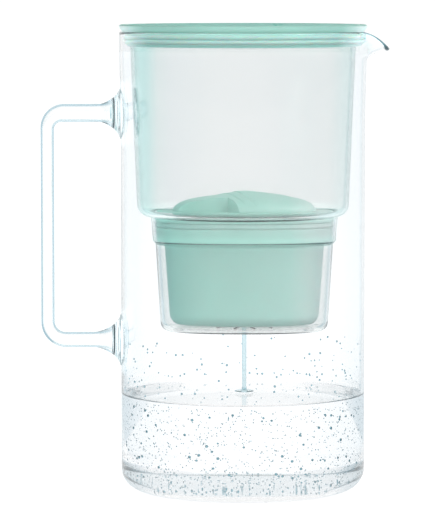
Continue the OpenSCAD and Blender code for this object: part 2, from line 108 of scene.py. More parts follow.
# Studio: places in metres, the camera's tilt in degrees. The floor's white wedge starts under the camera.
CAMERA_AT = (-0.01372, -1.950, 0.29205)
CAMERA_TILT = 4.642
CAMERA_LENS = 238.98
WEDGE_TIP = (-0.0137, -1.95)
BACKDROP = 1.02

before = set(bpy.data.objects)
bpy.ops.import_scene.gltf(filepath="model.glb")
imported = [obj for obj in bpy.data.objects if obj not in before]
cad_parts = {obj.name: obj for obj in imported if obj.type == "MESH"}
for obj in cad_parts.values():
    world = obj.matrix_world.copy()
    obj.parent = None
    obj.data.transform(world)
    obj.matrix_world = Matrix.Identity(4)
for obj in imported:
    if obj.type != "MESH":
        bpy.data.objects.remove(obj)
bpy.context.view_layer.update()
scene = bpy.context.scene


# ---- Node material helpers ----

def new_material(name):
    material = bpy.data.materials.new(name)
    material.use_nodes = True
    nodes = material.node_tree.nodes
    return material, nodes, material.node_tree.links, nodes["Principled BSDF"]


def set_inputs(node, **values):
    for name, value in values.items():
        node.inputs[name.replace("_", " ")].default_value = value


def object_position(nodes):
    return nodes.new("ShaderNodeTexCoord").outputs["Object"]


def stretched_noise(nodes, links, stretch, scale, detail):
    """Noise that is drawn out along the axes with a small stretch factor."""
    mapping = nodes.new("ShaderNodeMapping")
    mapping.inputs["Scale"].default_value = stretch
    links.new(object_position(nodes), mapping.inputs["Vector"])
    noise = nodes.new("ShaderNodeTexNoise")
    set_inputs(noise, Scale=scale, Detail=detail)
    links.new(mapping.outputs["Vector"], noise.inputs["Vector"])
    return noise.outputs["Fac"]


def fine_noise(nodes, links, scale, detail=2.0):
    noise = nodes.new("ShaderNodeTexNoise")
    set_inputs(noise, Scale=scale, Detail=detail)
    links.new(object_position(nodes), noise.inputs["Vector"])
    return noise.outputs["Fac"]


def add_bump(nodes, links, shader, height, strength, distance):
    bump = nodes.new("ShaderNodeBump")
    set_inputs(bump, Strength=strength, Distance=distance)
    links.new(height, bump.inputs["Height"])
    links.new(bump.outputs["Normal"], shader.inputs["Normal"])


def solid(colour):
    """A colour with full alpha. A single number is a grey."""
    return (*colour, 1) if isinstance(colour, tuple) else (colour, colour, colour, 1)


def colour_ramp(nodes, links, value, stops):
    ramp = nodes.new("ShaderNodeValToRGB")
    elements = ramp.color_ramp.elements
    elements[0].position, elements[0].color = stops[0][0], solid(stops[0][1])
    elements[1].position, elements[1].color = stops[-1][0], solid(stops[-1][1])
    for position, colour in stops[1:-1]:
        elements.new(position).color = solid(colour)
    links.new(value, ramp.inputs["Fac"])
    return ramp.outputs["Color"]


def feed(links, socket, value):
    """Links a socket to another one, or sets it to a constant."""
    if isinstance(value, bpy.types.NodeSocket):
        links.new(value, socket)
    else:
        socket.default_value = solid(value) if socket.type == "RGBA" else value


def maths(nodes, links, operation, first, second=0.0):
    node = nodes.new("ShaderNodeMath")
    node.operation = operation
    feed(links, node.inputs[0], first)
    feed(links, node.inputs[1], second)
    return node.outputs["Value"]


def vector_maths(nodes, links, operation, first, second=(0, 0, 0)):
    node = nodes.new("ShaderNodeVectorMath")
    node.operation = operation
    links.new(first, node.inputs[0])
    node.inputs[1].default_value = second
    return node.outputs["Value" if operation == "LENGTH" else "Vector"]


def map_range(nodes, links, value, smooth=False, **limits):
    node = nodes.new("ShaderNodeMapRange")
    if smooth:
        node.interpolation_type = "SMOOTHSTEP"
    set_inputs(node, **limits)
    links.new(value, node.inputs["Value"])
    return node.outputs["Result"]


def split_axes(nodes, links, vector):
    split = nodes.new("ShaderNodeSeparateXYZ")
    links.new(vector, split.inputs["Vector"])
    return split.outputs["X"], split.outputs["Y"], split.outputs["Z"]


def mix_colours(nodes, links, blend, factor, first, second):
    node = nodes.new("ShaderNodeMix")
    node.data_type = "RGBA"
    node.blend_type = blend
    feed(links, node.inputs["Factor"], factor)
    feed(links, node.inputs[6], first)
    feed(links, node.inputs[7], second)
    return node.outputs[2]


def signed_ramp(nodes, links, value, reach, stops):
    """A colour ramp over -reach to reach."""
    share = maths(nodes, links, "ADD", maths(nodes, links, "DIVIDE", value, 2 * reach), 0.5)
    return colour_ramp(nodes, links, share, [(0.5 + at / (2 * reach), colour) for at, colour in stops])


def paint_glow(links, shader, colour):
    """Paints a glow: the surface gives off a little light, which stands for light that its thickness gathers.
    """
    links.new(colour, shader.inputs["Emission Color"])
    shader.inputs["Emission Strength"].default_value = 1.0


def paint_lit_edges(nodes, links, shader, colour, start, end):
    """Paints light where a round translucent piece's side turns away: its colour fades to near white and it
    gets a painted glow, as if lit through.
    """
    outwards = vector_maths(nodes, links, "MULTIPLY", object_position(nodes), (1, 1, 0))
    turned = nodes.new("ShaderNodeLayerWeight")
    links.new(vector_maths(nodes, links, "NORMALIZE", outwards), turned.inputs["Normal"])
    fade = map_range(nodes, links, turned.outputs["Facing"], From_Min=start, From_Max=end, To_Max=0.8)
    up = split_axes(nodes, links, nodes.new("ShaderNodeTexCoord").outputs["Normal"])[2]
    upright = signed_ramp(nodes, links, up, 1.0, [(0.35, 1), (0.7, 0)])
    amount = maths(nodes, links, "MULTIPLY", fade, upright)
    paint_glow(links, shader, mix_colours(nodes, links, "MIX", amount, 0, (0.26, 0.34, 0.32)))
    return mix_colours(nodes, links, "MIX", amount, colour, (0.9, 0.97, 0.96))


def absorb(material, colour, density):
    """Gives a clear material the tint that light picks up over its path inside."""
    nodes, links = material.node_tree.nodes, material.node_tree.links
    volume = nodes.new("ShaderNodeVolumeAbsorption")
    set_inputs(volume, Color=solid(colour), Density=density)
    links.new(volume.outputs["Volume"], nodes["Material Output"].inputs["Volume"])


# ---- Materials ----

def clear_glass():
    """Blown borosilicate: fire-polished, with the long soft waves of drawn glass. Its turned edges carry a
    painted shade of darker teal, most in the thin tube, and the welds and the spout's lip carry a painted
    glow."""
    material, nodes, links, shader = new_material("blown glass")
    set_inputs(shader, Transmission_Weight=1.0, IOR=1.47, Roughness=0.0)
    x, _, z = split_axes(nodes, links, object_position(nodes))

    # Painted shade: surfaces that turn away from the view are coloured a darker teal, most in the thin tube.
    facing = nodes.new("ShaderNodeLayerWeight").outputs["Facing"]
    jug_painted_edge = colour_ramp(nodes, links, facing, [(0.79, 1), (0.91, (0.42, 0.56, 0.62))])
    tube_painted_edge = colour_ramp(nodes, links, facing, [(0.30, 1), (0.66, (0.22, 0.46, 0.56))])
    on_jug = map_range(nodes, links, x, From_Min=-0.078, From_Max=-0.070)
    links.new(mix_colours(nodes, links, "MIX", on_jug, tube_painted_edge, jug_painted_edge), shader.inputs["Base Color"])

    middle, half = (UPPER_ARM_Z + LOWER_ARM_Z) / 2 * MM, (UPPER_ARM_Z - LOWER_ARM_Z) / 2 * MM
    from_middle = maths(nodes, links, "ABSOLUTE", maths(nodes, links, "SUBTRACT", z, middle))
    beside_arm = signed_ramp(nodes, links, maths(nodes, links, "SUBTRACT", from_middle, half), 0.05, [
        (-0.0195, 0), (-0.0165, 1), (0.0165, 1), (0.0195, 0)])
    at_wall = signed_ramp(nodes, links, x, 0.1, [(-0.0765, 0), (-0.0735, 1), (-0.067, 1), (-0.065, 0)])
    in_weld = maths(nodes, links, "MULTIPLY", beside_arm, at_wall)
    # Painted glow: faint over all the glass, more at the welds and along the spout's lip, most at its tip.
    faint, rim, tip = (0.001, 0.0034, 0.0044), (0.035, 0.095, 0.115), (0.18, 0.32, 0.36)
    spout = signed_ramp(nodes, links, x, 0.1, [(0.066, faint), (0.071, rim), (0.078, rim), (0.080, tip)])
    in_lip = signed_ramp(nodes, links, z, 0.3, [(0.254, 0), (0.258, 1)])
    painted_glass_glow = mix_colours(nodes, links, "MIX", in_lip, faint, spout)
    paint_glow(links, shader, mix_colours(nodes, links, "MIX", in_weld, painted_glass_glow, (0.052, 0.066, 0.070)))

    waves = stretched_noise(nodes, links, (1.0, 1.0, 0.25), 18.0, 1.0)
    add_bump(nodes, links, shader, waves, 0.02, 0.0005)
    absorb(material, (0.30, 0.56, 0.62), 1.6)
    return material


def clear_plastic():
    """Moulded clear plastic with a faint green cast, and a painted shade that makes it greener at both sides
    and darker teal on its turned edges. The ledge, and the ends of the floor, carry a painted glow."""
    material, nodes, links, shader = new_material("clear moulded plastic")
    set_inputs(shader, Transmission_Weight=1.0, IOR=1.49, Roughness=0.0)
    x, _, z = split_axes(nodes, links, object_position(nodes))

    # Painted shade: greener and darker towards both sides, near grey in the middle.
    across = map_range(nodes, links, x, From_Min=-0.068, From_Max=0.068)
    tint = colour_ramp(nodes, links, across, [
        (0.0, (0.79, 0.95, 0.92)),
        (0.087, (0.80, 0.94, 0.915)),
        (0.125, (0.92, 0.935, 0.92)),
        (0.20, (0.938, 0.93, 0.926)),
        (0.35, (0.922, 0.915, 0.910)),
        (0.65, (0.918, 0.912, 0.908)),
        (0.89, (0.965, 0.952, 0.94)),
        (1.0, (0.88, 0.985, 0.955)),
    ])
    # Painted shade: turned edges darkened to teal.
    facing = nodes.new("ShaderNodeLayerWeight").outputs["Facing"]
    painted_dark_edges = colour_ramp(nodes, links, facing, [(0.76, 1), (0.93, (0.16, 0.40, 0.39))])
    links.new(mix_colours(nodes, links, "MULTIPLY", 1.0, tint, painted_dark_edges), shader.inputs["Base Color"])

    # Painted glow at the ledge, and at both ends of the floor.
    ledge, floor = LEDGE_Z * MM, FLOOR_Z * MM
    ledge_light, floor_light = (0.022, 0.045, 0.04), (0.035, 0.065, 0.06)
    at_ledge = signed_ramp(nodes, links, z, 0.2, [
        (ledge - 0.0045, 0), (ledge - 0.002, ledge_light), (ledge + 0.002, ledge_light), (ledge + 0.0045, 0)])
    at_floor = signed_ramp(nodes, links, z, 0.2, [
        (floor - 0.003, 0), (floor, floor_light), (floor + 0.003, floor_light), (floor + 0.006, 0)])
    at_ends = signed_ramp(nodes, links, maths(nodes, links, "ABSOLUTE", x), 0.07, [(0.030, 0), (0.048, 1)])
    paint_glow(links, shader, mix_colours(nodes, links, "ADD", at_ends, at_ledge, at_floor))

    add_bump(nodes, links, shader, fine_noise(nodes, links, 30.0, 1.0), 0.02, 0.0004)
    absorb(material, (0.35, 0.66, 0.64), 16.0)
    return material


def mint_plastic(name, colour, roughness, grain, painted_lit_rim=False, painted_right_sheen=False, shine=0.5):
    """Moulded mint plastic, slightly translucent, with a fine spark-eroded grain."""
    material, nodes, links, shader = new_material(name)
    low = tuple(0.95 * c for c in colour)
    high = tuple(min(1.0, 1.05 * c) for c in colour)
    mottled = colour_ramp(nodes, links, fine_noise(nodes, links, 22.0, 3.0), [(0.3, low), (0.7, high)])
    # Painted light: where the side turns away the colour fades to near white and glows a little.
    if painted_lit_rim:
        mottled = paint_lit_edges(nodes, links, shader, mottled, 0.40, 0.75)
    # Painted sheen: paler and greyer towards the right, where the light falls.
    if painted_right_sheen:
        x = split_axes(nodes, links, object_position(nodes))[0]
        painted_sheen = signed_ramp(nodes, links, x, 0.1, [
            (-0.045, 0), (0.0, 0.13), (0.026, 0.24), (0.036, 0.55), (0.044, 0.7)])
        mottled = mix_colours(nodes, links, "MIX", painted_sheen, mottled, (0.78, 0.80, 0.78))
    links.new(mottled, shader.inputs["Base Color"])
    set_inputs(shader, Roughness=roughness, Specular_IOR_Level=shine, Subsurface_Weight=0.25,
               Subsurface_Scale=0.004)
    shader.inputs["Subsurface Radius"].default_value = (0.5, 1.0, 0.9)
    add_bump(nodes, links, shader, fine_noise(nodes, links, 2600.0), grain, 0.00004)
    return material


def silicone():
    """Soft pale mint silicone that lets some light through."""
    material, nodes, links, shader = new_material("pale mint silicone")
    cloud = fine_noise(nodes, links, 60.0)
    shade = colour_ramp(nodes, links, cloud, [(0.3, (0.39, 0.595, 0.535)), (0.7, (0.42, 0.625, 0.565))])
    # Painted light: the turned-away sides fade to near white and glow a little.
    links.new(paint_lit_edges(nodes, links, shader, shade, 0.40, 0.75), shader.inputs["Base Color"])
    set_inputs(shader, Roughness=0.6, Subsurface_Weight=0.6, Subsurface_Scale=0.004)
    add_bump(nodes, links, shader, fine_noise(nodes, links, 1800.0), 0.1, 0.00003)
    return material


def steel():
    """Drawn stainless wire with fine lines along it."""
    material, nodes, links, shader = new_material("drawn stainless steel")
    set_inputs(shader, Metallic=1.0)
    lines = stretched_noise(nodes, links, (1.0, 0.02, 1.0), 6000.0, 2.0)
    shade = colour_ramp(nodes, links, lines, [(0.3, (0.55, 0.56, 0.58)), (0.7, (0.72, 0.72, 0.74))])
    links.new(shade, shader.inputs["Base Color"])
    rough = map_range(nodes, links, lines, To_Min=0.22, To_Max=0.38)
    links.new(rough, shader.inputs["Roughness"])
    return material


def granules(name, dark, light, grain_size, roughness):
    """Loose granules: a cell pattern gives each one its own shade and a rounded top."""
    material, nodes, links, shader = new_material(name)
    cells = nodes.new("ShaderNodeTexVoronoi")
    cells.inputs["Scale"].default_value = 1 / grain_size
    links.new(object_position(nodes), cells.inputs["Vector"])
    split = nodes.new("ShaderNodeSeparateColor")
    links.new(cells.outputs["Color"], split.inputs["Color"])
    shade = colour_ramp(nodes, links, split.outputs["Red"], [(0.0, dark), (1.0, light)])
    links.new(shade, shader.inputs["Base Color"])
    set_inputs(shader, Roughness=roughness)
    add_bump(nodes, links, shader, cells.outputs["Distance"], 1.0, -grain_size / 2)
    return material


def woven_screen():
    """Fine polyester screen: two crossed sets of threads."""
    material, nodes, links, shader = new_material("fine woven screen")
    position = object_position(nodes)
    bands = []
    for direction in ("X", "Y"):
        wave = nodes.new("ShaderNodeTexWave")
        wave.bands_direction = direction
        wave.inputs["Scale"].default_value = 400.0
        links.new(position, wave.inputs["Vector"])
        bands.append(wave.outputs["Fac"])
    weave = maths(nodes, links, "MAXIMUM", *bands)
    shade = colour_ramp(nodes, links, weave, [(0.2, (0.55, 0.57, 0.56)), (0.8, (0.86, 0.87, 0.86))])
    links.new(shade, shader.inputs["Base Color"])
    set_inputs(shader, Roughness=0.7)
    add_bump(nodes, links, shader, weave, 0.8, 0.0001)
    return material


def needled_felt():
    """Pressed white fibres."""
    material, nodes, links, shader = new_material("needled felt")
    fibres = fine_noise(nodes, links, 1500.0, 6.0)
    shade = colour_ramp(nodes, links, fibres, [(0.3, (0.74, 0.74, 0.70)), (0.7, (0.88, 0.88, 0.85))])
    links.new(shade, shader.inputs["Base Color"])
    set_inputs(shader, Roughness=0.9, Sheen_Weight=0.4)
    add_bump(nodes, links, shader, fibres, 0.7, 0.0003)
    return material


# ---- Mesh helpers ----

def extrude_ring(bm, ring):
    """Extrudes a closed ring of vertices and returns the new ring in the same order."""
    edges = [bm.edges.get((ring[i - 1], ring[i])) for i in range(len(ring))]
    made = bmesh.ops.extrude_edge_only(bm, edges=edges)["geom"]
    new = {v for v in made if isinstance(v, bmesh.types.BMVert)}
    return [next(e.other_vert(v) for e in v.link_edges if e.other_vert(v) in new) for v in ring]


def grow_rings(sections, place, segments):
    """A skin grown ring by ring: place(section, angle) says where each vertex of a ring goes."""
    bm = bmesh.new()
    ring = bmesh.ops.create_circle(bm, radius=1, segments=segments)["verts"]
    first = ring
    for k, section in enumerate(sections):
        if k:
            ring = extrude_ring(bm, ring)
        for i, v in enumerate(ring):
            v.co = place(section, 2 * math.pi * i / segments)
    return bm, first, ring


def spin_profile(points, segments):
    """A profile of (radius, height) points turned full circle round the jug's axis."""
    bm = bmesh.new()
    verts = [bm.verts.new((r, 0, z)) for r, z in points]
    for a, b in zip(verts, verts[1:]):
        bm.edges.new((a, b))
    bmesh.ops.spin(bm, geom=bm.verts[:] + bm.edges[:], cent=(0, 0, 0), axis=(0, 0, 1),
                   dvec=(0, 0, 0), angle=2 * math.pi, steps=segments, use_merge=True,
                   use_duplicate=False)
    bmesh.ops.remove_doubles(bm, verts=bm.verts, dist=0.001)
    return bm


def arc(x, z, r, start, end, steps=8):
    """Points of an arc in the plane of a profile, in degrees."""
    turns = [math.radians(start + (end - start) * i / steps) for i in range(steps + 1)]
    return [(x + r * math.cos(t), z + r * math.sin(t)) for t in turns]


def soften(bm, width, angle=30, segments=2):
    """Rounds the edges where two faces meet at more than angle degrees."""
    limit = math.radians(angle)
    edges = [e for e in bm.edges if len(e.link_faces) == 2 and e.calc_face_angle() > limit]
    bmesh.ops.bevel(bm, geom=edges, offset=width, offset_type="OFFSET", affect="EDGES",
                    segments=segments, profile=0.5, material=-1)


def close_ring(bm, ring):
    bm.faces.new(ring)


def finish_piece(name, bm, material, body, slot, stands_for=(), sharp=40, recalc=True):
    """Turns a bmesh in millimetres into a piece of the object that rides on a body."""
    if recalc:
        bmesh.ops.remove_doubles(bm, verts=bm.verts, dist=0.0005)
        bmesh.ops.recalc_face_normals(bm, faces=bm.faces)
    bmesh.ops.scale(bm, vec=(MM, MM, MM), verts=bm.verts)
    mesh = bpy.data.meshes.new(name)
    bm.to_mesh(mesh)
    bm.free()
    mesh.polygons.foreach_set("use_smooth", [True] * len(mesh.polygons))
    mesh.set_sharp_from_angle(angle=math.radians(sharp))
    mesh.materials.append(material)
    piece = bpy.data.objects.new(name, mesh)
    scene.collection.objects.link(piece)
    if body:
        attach(piece, body)
    if stands_for:
        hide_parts(*stands_for)
    return piece


def finish_stage(name, bm, material, **options):
    """Turns a bmesh in millimetres into something round the object that is no part of it."""
    piece = finish_piece(name, bm, material, None, None, **options)
    return piece


def let_light_in(*pieces):
    """Clear pieces cast no shadow, so that the lamps reach what they hold."""
    for piece in pieces:
        piece.visible_shadow = False


def dress_node(node, material):
    """Gives a CAD node its finish."""
    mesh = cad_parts[node].data
    mesh.materials.clear()
    mesh.materials.append(material)


# ---- Glass jug ----

def jug_profile():
    """Up the outside from the foot's middle, round the lip and down the inside."""
    half = GLASS_WALL / 2
    bore = JUG_R - GLASS_WALL
    mouth = JUG_R + MOUTH_FLARE
    middle = mouth - half
    lip_z = JUG_H - half
    rise = [SPOUT_Z + (lip_z - SPOUT_Z) * i / 14 for i in range(15)]
    inner_heel = HEEL_R - GLASS_WALL
    return (
        [(0, 0), (30, 0)]
        + arc(JUG_R - HEEL_R, HEEL_R, HEEL_R, -90, 0, 12)
        + [(JUG_R, SPOUT_Z - FLARE_H)]
        + [(middle + half, z) for z in rise]
        + arc(middle, lip_z, half, 22.5, 157.5, 6)
        + [(middle - half, z) for z in reversed(rise)]
        + [(bore, SPOUT_Z - FLARE_H)]
        + arc(bore - inner_heel, GLASS_FLOOR + inner_heel, inner_heel, 0, -90, 12)
        + [(30, GLASS_FLOOR), (0, GLASS_FLOOR)]
    )


def pull_spout(v):
    """Leans the mouth's wall out into the spout, most at its middle line."""
    angle = math.degrees(math.atan2(v.co.y, v.co.x))
    if v.co.z < SPOUT_Z or abs(angle) >= SPOUT_ANGLE:
        return
    swell = math.cos(math.radians(90 * angle / SPOUT_ANGLE)) ** 2
    half = GLASS_WALL / 2
    middle = JUG_R + MOUTH_FLARE - half
    radius = math.hypot(v.co.x, v.co.y)
    full_rise = SPOUT_RISE - half
    up = min(1.0, (v.co.z - SPOUT_Z) / full_rise)
    past_lip = max(0.0, v.co.z - (JUG_H - half))
    turn = math.asin(up * math.sin(SPOUT_LEAN))
    reach = swell * (SPOUT_REACH - MOUTH_FLARE) / (1 - math.cos(SPOUT_LEAN))
    rise = (full_rise - SPOUT_DIP * swell ** 1.7) / math.sin(SPOUT_LEAN)
    along = Vector((reach * math.sin(turn), rise * math.cos(turn))).normalized()
    out = radius - middle
    r = middle + reach * (1 - math.cos(turn)) + along.y * out + along.x * past_lip
    z = SPOUT_Z + rise * math.sin(turn) - along.x * out + along.y * past_lip
    v.co = Vector((r * v.co.x / radius, r * v.co.y / radius, z))


def jug_skin():
    bm = spin_profile(jug_profile(), 288)
    for v in bm.verts:
        pull_spout(v)
    bmesh.ops.recalc_face_normals(bm, faces=bm.faces)
    return bm


# ---- Glass handle ----

def wall_x(y, z):
    """Where the jug's outer wall is, on the handle's side."""
    flare = max(0.0, min(1.0, (z - (SPOUT_Z - FLARE_H)) / FLARE_H)) * MOUTH_FLARE
    return -math.sqrt((JUG_R + flare) ** 2 - y * y)


def turn_bend(bm, ring, centre, steps, growth):
    """Carries a ring of vertices round a quarter bend in the handle's plane, and widens it by growth."""
    for _ in range(steps):
        ring = extrude_ring(bm, ring)
        bmesh.ops.rotate(bm, verts=ring, cent=centre,
                         matrix=Matrix.Rotation(-math.pi / 2 / steps, 3, "Y"))
        middle = sum((v.co for v in ring), Vector()) / len(ring)
        for v in ring:
            v.co = middle + (v.co - middle) * growth ** (1 / steps)
    return ring


def ring_radius(ring):
    return max(v.co.y for v in ring)


def flare_to(bm, ring, x, z, radius, old_radius):
    """Extrudes a ring that stands across an arm and gives it a new place and radius."""
    ring = extrude_ring(bm, ring)
    for v in ring:
        v.co = Vector((x, v.co.y * radius / old_radius, z + (v.co.z - z) * radius / old_radius))
    return ring


def handle_skin(radius, trumpet_x, ends):
    """One skin of the handle: tube, bends and an end that ends() adds to each arm."""
    bm = bmesh.new()
    upper, lower = radius * UPPER_GROWTH, radius * LOWER_GROWTH
    ring = bmesh.ops.create_circle(bm, radius=upper, segments=48)["verts"]
    bmesh.ops.rotate(bm, verts=ring, cent=(0, 0, 0), matrix=Matrix.Rotation(math.pi / 2, 3, "Y"))
    bmesh.ops.translate(bm, verts=ring, vec=(trumpet_x, 0, UPPER_ARM_Z))
    upper_end = ring
    ring = flare_to(bm, ring, GRIP_X + UPPER_BEND_R, UPPER_ARM_Z, upper, upper)
    bend = (GRIP_X + UPPER_BEND_R, 0, UPPER_ARM_Z - UPPER_BEND_R)
    ring = turn_bend(bm, ring, bend, 12, 1 / UPPER_GROWTH)
    ring = extrude_ring(bm, ring)
    drop = LOWER_ARM_Z + LOWER_BEND_R - (UPPER_ARM_Z - UPPER_BEND_R)
    bmesh.ops.translate(bm, verts=ring, vec=(0, 0, drop))
    bend = (GRIP_X + LOWER_BEND_R, 0, LOWER_ARM_Z + LOWER_BEND_R)
    ring = turn_bend(bm, ring, bend, 12, LOWER_GROWTH)
    ring = flare_to(bm, ring, trumpet_x, LOWER_ARM_Z, lower, lower)
    for arm_ring, z in ((upper_end, UPPER_ARM_Z), (ring, LOWER_ARM_Z)):
        close_ring(bm, ends(bm, arm_ring, z))
    bmesh.ops.recalc_face_normals(bm, faces=bm.faces)
    return bm


def trumpet_end(bm, ring, z):
    """Opens an arm into the trumpet that is fused to the jug's wall."""
    old = start = ring_radius(ring)
    for k in range(1, 17):
        t = math.radians(5 * k)
        radius = max(start, TUBE_R + WELD_H * (1 - math.cos(t)))
        ring = flare_to(bm, ring, WELD_X + WELD_L * math.sin(t), z, radius, old)
        old = radius
    ring = extrude_ring(bm, ring)
    for v in ring:
        v.co.x = wall_x(v.co.y, v.co.z) + GLASS_WALL / 2
    return ring


def bulb_end(bm, ring, z):
    """Widens the bore into the closed bulb in front of the jug's wall."""
    lip = 0.9
    length = BULB_X - lip - WELD_X
    old = start = ring_radius(ring)
    flare = [(WELD_X + length * math.sin(t), start + (BULB_R - start) * (1 - math.cos(t)))
             for t in (math.pi / 2 * k / 12 for k in range(1, 13))]
    for x, radius in flare + arc(BULB_X - lip, BULB_R - lip, lip, 90, 0, 5)[1:]:
        ring = flare_to(bm, ring, x, z, radius, old)
        old = radius
    return ring


def fuse(first, second):
    """The union of two closed skins, as one skin."""
    parts = []
    for name, bm in (("fuse first", first), ("fuse second", second)):
        mesh = bpy.data.meshes.new(name)
        bm.to_mesh(mesh)
        bm.free()
        part = bpy.data.objects.new(name, mesh)
        scene.collection.objects.link(part)
        parts.append(part)
    union = parts[0].modifiers.new("union", "BOOLEAN")
    union.operation = "UNION"
    union.solver = "EXACT"
    union.object = parts[1]
    finished = parts[0].evaluated_get(bpy.context.evaluated_depsgraph_get())
    result = bpy.data.meshes.new_from_object(finished)
    fused = bmesh.new()
    fused.from_mesh(result)
    bpy.data.meshes.remove(result)
    for part in parts:
        mesh = part.data
        bpy.data.objects.remove(part)
        bpy.data.meshes.remove(mesh)
    return fused


def make_glass(material):
    """The jug with its handle melted onto it. The handle's bore is a closed skin inside the glass."""
    bm = fuse(jug_skin(), handle_skin(TUBE_R, WELD_X, trumpet_end))
    bore = handle_skin(BORE_R, WELD_X, bulb_end)
    bmesh.ops.reverse_faces(bore, faces=bore.faces)
    held = bpy.data.meshes.new("bore")
    bore.to_mesh(held)
    bore.free()
    bm.from_mesh(held)
    bpy.data.meshes.remove(held)
    return finish_piece("jug_and_handle", bm, material, "jug", "clear_glass",
                        ("glass_jug", "glass_handle"), sharp=60, recalc=False)


# ---- Hopper ----

def power(value, exponent):
    return math.copysign(abs(value) ** exponent, value)


def round_or_oval(section, angle):
    """A vertex of a ring given as (height, half length) for round ones or (height, half length,
    half width) for ovals, which stand off the axis by the cup's shift."""
    z, a = section[:2]
    if len(section) == 2:
        return Vector((a * math.cos(angle), a * math.sin(angle), z))
    e = 2 / OVAL_POWER
    return Vector((a * power(math.cos(angle), e) + CUP_SHIFT, section[2] * power(math.sin(angle), e), z))


def oval_rings(pairs):
    return [(z, a, a - OVAL_DIFF) for z, a in pairs]


def hopper_rings():
    """Down the outside from the rim, through the outlet and up the inside."""
    heel_r = 7.0
    bottom_r = 60.8
    top_r = 64.2
    flare_h = 7

    def under_shoulder(radius, steps):
        return [(SHOULDER_Z - flare_h * (1 - u), radius + (HOPPER_NECK_R - top_r) * u * u) for u in steps]

    outside = [(RIM_TOP, HOPPER_RIM_R), (REBATE_Z, HOPPER_RIM_R), (REBATE_Z, HOPPER_NECK_R)]
    outside += under_shoulder(top_r, (1, 0.8, 0.6, 0.4, 0.2, 0))
    outside += [(z, r) for r, z in arc(bottom_r - heel_r, FLOOR_Z + heel_r, heel_r, 0, -84, 12)]
    cup = [(FLOOR_Z, 53.7), (LEDGE_Z, 52.6), (LEDGE_Z - HOPPER_WALL, 51.0)]
    cup += [(z, a) for a, z in arc(43.2, CUP_BOTTOM + 5, 5.0, 0, -90, 6)]
    outside += oval_rings(cup)
    outside += [(CUP_BOTTOM, 32.0, 12.0), (CUP_BOTTOM, 10.0, 4.5)]

    cup_floor = CUP_BOTTOM + CUP_FLOOR
    inside = [(CUP_BOTTOM, OUTLET_R, OUTLET_R), (cup_floor, OUTLET_R, OUTLET_R)]
    inside += [(cup_floor, 10.0, 4.5), (cup_floor, 31.0, 11.5)]
    cup = [(z, a) for a, z in arc(42.2, cup_floor + 4, 4.0, -90, 0, 6)]
    cup += [(LEDGE_Z - 0.05, 49.0), (LEDGE_Z, CUP_BORE), (FLOOR_Z + HOPPER_WALL, 52.25)]
    inside += oval_rings(cup)
    inner_heel = heel_r - HOPPER_WALL
    inside += [(z, r) for r, z in arc(bottom_r - heel_r, FLOOR_Z + heel_r, inner_heel, -90, 0, 10)]
    inside += under_shoulder(top_r - HOPPER_WALL, (0, 0.2, 0.4, 0.6, 0.8))
    inside += [(SHOULDER_Z, HOPPER_NECK_R - HOPPER_WALL), (RIM_TOP, HOPPER_NECK_R - HOPPER_WALL)]
    return outside + inside


def make_hopper(material):
    bm, first, last = grow_rings(hopper_rings(), round_or_oval, 192)
    loops = [bm.edges.get((ring[i - 1], ring[i])) for ring in (first, last) for i in range(len(ring))]
    bmesh.ops.bridge_loops(bm, edges=loops)
    bmesh.ops.recalc_face_normals(bm, faces=bm.faces)
    soften(bm, 0.45, 35, 3)
    return finish_piece("hopper_body", bm, material, "funnel", "clear_plastic", ("hopper",))


def make_floor_ribs(material):
    """Ribs round the outlet that keep the cartridge off the cup's floor."""
    bm = bmesh.new()
    inner, outer, count = 6.0, 22.0, 12
    low = CUP_BOTTOM + CUP_FLOOR + 0.02
    high = 0.76
    for i in range(count):
        made = bmesh.ops.create_cube(bm, size=1)["verts"]
        bmesh.ops.scale(bm, verts=made, vec=(outer - inner, 1.2, high))
        bmesh.ops.translate(bm, verts=made, vec=((inner + outer) / 2, 0, low + high / 2))
        turn = Matrix.Rotation(2 * math.pi * (i + 0.5) / count, 3, "Z")
        bmesh.ops.rotate(bm, verts=made, cent=(0, 0, 0), matrix=turn)
    bmesh.ops.translate(bm, verts=bm.verts, vec=(CUP_SHIFT, 0, 0))
    soften(bm, 0.2)
    return finish_piece("cup_floor_ribs", bm, material, "funnel", "clear_plastic")


# ---- Cartridge ----

def cup_bore(z):
    """Half the length of the cup's oval bore at a height over its ledge."""
    return CUP_BORE + CUP_TAPER * (z - LEDGE_Z)


